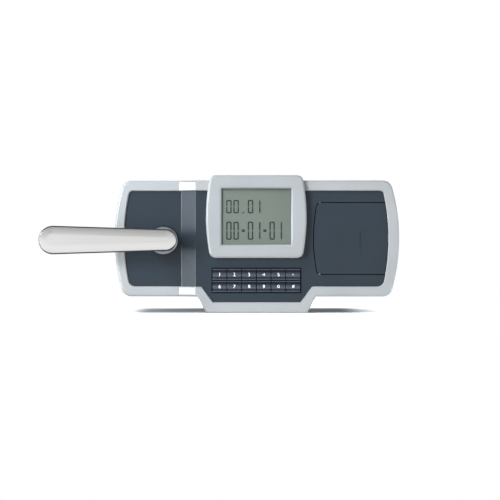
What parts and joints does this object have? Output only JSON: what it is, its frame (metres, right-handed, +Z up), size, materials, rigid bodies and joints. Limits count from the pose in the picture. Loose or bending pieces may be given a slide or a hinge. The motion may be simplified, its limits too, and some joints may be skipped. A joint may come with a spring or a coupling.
{
  "type": "electronic safe lock unit",
  "caption": "Lock unit for a safe door: a long silver and dark panel with a lever handle, a raised display, a keypad and a flush battery cover.",
  "frame": {"origin": "centre of the four door bolts, on the door's outer face", "axes": "+X to the right as the user sees the unit, +Y into the door, +Z up; the front faces -Y"},
  "size_m": [0.3138, 0.098, 0.1217],
  "materials": {
    "silver_paint": "satin silver paint",
    "dark_moulding": "smooth, slightly glossy",
    "clear_window": "polished",
    "display_glass": "grey reflective cell",
    "black_plastic": "fine grain",
    "key_plastic": "half gloss",
    "keypad_grid": "half gloss",
    "silicone": "matt",
    "carbon_rubber": "matt",
    "grommet_rubber": "matt",
    "plated_steel": "zinc plated",
    "satin_nickel": "satin nickel",
    "bright_chrome": "polished",
    "spring_steel": "nickel plated",
    "board_laminate": "solder mask",
    "chip_plastic": "matt",
    "capacitor_can": "sleeved can",
    "socket_plastic": "natural nylon",
    "cell_jacket": "printed jacket",
    "acetal": "natural",
    "coil_wire": "enamelled copper under tape",
    "brass_contact": "nickel flashed"
  },
  "bodies": {
    "housing": {"outer_frame": "silver_paint", "fascia": "dark_moulding", "mounting_plate": "plated_steel", "clinch_nuts": "plated_steel", "plate_screws": "plated_steel", "cable_grommet": "grommet_rubber", "display_bezel": "silver_paint", "display_window": "clear_window", "lcd_panel": "display_glass", "lcd_holder": "black_plastic", "zebra_strips": "carbon_rubber", "display_screws": "plated_steel", "keypad_frame": "keypad_grid", "keypad_mat": "silicone", "main_board": "board_laminate", "board_chips": "chip_plastic", "board_capacitors": "capacitor_can", "buzzer": "black_plastic", "cable_socket": "socket_plastic", "board_screws": "plated_steel", "battery_box": "black_plastic", "battery_box_screws": "plated_steel", "battery_cells": "cell_jacket", "battery_springs": "spring_steel", "battery_contacts": "brass_contact", "cover_hinge_pin": "spring_steel", "cover_catch": "spring_steel", "handle_rose": "bright_chrome", "spindle_bush": "acetal", "stop_pin": "plated_steel", "return_spring": "spring_steel", "solenoid_frame": "plated_steel", "solenoid_coil": "coil_wire", "solenoid_screws": "plated_steel"},
    "handle": {"lever_handle": "satin_nickel", "grub_screw": "plated_steel", "spindle": "plated_steel", "circlip": "spring_steel", "cam_disc": "plated_steel"},
    "plunger": {"blocking_plunger": "plated_steel"},
    "cover": {"battery_cover": "dark_moulding"},
    "key_1": {"key_1": "key_plastic"},
    "key_2": {"key_2": "key_plastic"},
    "key_3": {"key_3": "key_plastic"},
    "key_4": {"key_4": "key_plastic"},
    "key_5": {"key_5": "key_plastic"},
    "key_star": {"key_star": "key_plastic"},
    "key_6": {"key_6": "key_plastic"},
    "key_7": {"key_7": "key_plastic"},
    "key_8": {"key_8": "key_plastic"},
    "key_9": {"key_9": "key_plastic"},
    "key_0": {"key_0": "key_plastic"},
    "key_hash": {"key_hash": "key_plastic"}
  },
  "joints": [
    {"name": "handle_turn", "type": "hinge", "parent": "housing", "child": "handle", "pos_m": [-0.0829, 0, -0.00165], "axis": [0, -1, 0], "range_deg": [0, 60], "stiffness_Nm_per_rad": 0.35, "springref_deg": -34.38, "deforming": ["return_spring"]},
    {"name": "plunger_slide", "type": "slide", "parent": "housing", "child": "plunger", "axis": [-1, 0, 0], "range_m": [0, 0.0035]},
    {"name": "cover_hinge", "type": "hinge", "parent": "housing", "child": "cover", "pos_m": [0.0559, -0.0205, 0], "axis": [0, 0, -1], "range_deg": [0, 80], "deforming": ["cover_catch"]},
    {"name": "key_1_press", "type": "slide", "parent": "housing", "child": "key_1", "axis": [0, 1, 0], "range_m": [0, 0.001], "stiffness_N_per_m": 800, "springref_m": -0.0005, "deforming": ["keypad_mat"]},
    {"name": "key_2_press", "type": "slide", "parent": "housing", "child": "key_2", "axis": [0, 1, 0], "range_m": [0, 0.001], "stiffness_N_per_m": 800, "springref_m": -0.0005, "deforming": ["keypad_mat"]},
    {"name": "key_3_press", "type": "slide", "parent": "housing", "child": "key_3", "axis": [0, 1, 0], "range_m": [0, 0.001], "stiffness_N_per_m": 800, "springref_m": -0.0005, "deforming": ["keypad_mat"]},
    {"name": "key_4_press", "type": "slide", "parent": "housing", "child": "key_4", "axis": [0, 1, 0], "range_m": [0, 0.001], "stiffness_N_per_m": 800, "springref_m": -0.0005, "deforming": ["keypad_mat"]},
    {"name": "key_5_press", "type": "slide", "parent": "housing", "child": "key_5", "axis": [0, 1, 0], "range_m": [0, 0.001], "stiffness_N_per_m": 800, "springref_m": -0.0005, "deforming": ["keypad_mat"]},
    {"name": "key_star_press", "type": "slide", "parent": "housing", "child": "key_star", "axis": [0, 1, 0], "range_m": [0, 0.001], "stiffness_N_per_m": 800, "springref_m": -0.0005, "deforming": ["keypad_mat"]},
    {"name": "key_6_press", "type": "slide", "parent": "housing", "child": "key_6", "axis": [0, 1, 0], "range_m": [0, 0.001], "stiffness_N_per_m": 800, "springref_m": -0.0005, "deforming": ["keypad_mat"]},
    {"name": "key_7_press", "type": "slide", "parent": "housing", "child": "key_7", "axis": [0, 1, 0], "range_m": [0, 0.001], "stiffness_N_per_m": 800, "springref_m": -0.0005, "deforming": ["keypad_mat"]},
    {"name": "key_8_press", "type": "slide", "parent": "housing", "child": "key_8", "axis": [0, 1, 0], "range_m": [0, 0.001], "stiffness_N_per_m": 800, "springref_m": -0.0005, "deforming": ["keypad_mat"]},
    {"name": "key_9_press", "type": "slide", "parent": "housing", "child": "key_9", "axis": [0, 1, 0], "range_m": [0, 0.001], "stiffness_N_per_m": 800, "springref_m": -0.0005, "deforming": ["keypad_mat"]},
    {"name": "key_0_press", "type": "slide", "parent": "housing", "child": "key_0", "axis": [0, 1, 0], "range_m": [0, 0.001], "stiffness_N_per_m": 800, "springref_m": -0.0005, "deforming": ["keypad_mat"]},
    {"name": "key_hash_press", "type": "slide", "parent": "housing", "child": "key_hash", "axis": [0, 1, 0], "range_m": [0, 0.001], "stiffness_N_per_m": 800, "springref_m": -0.0005, "deforming": ["keypad_mat"]}
  ]
}
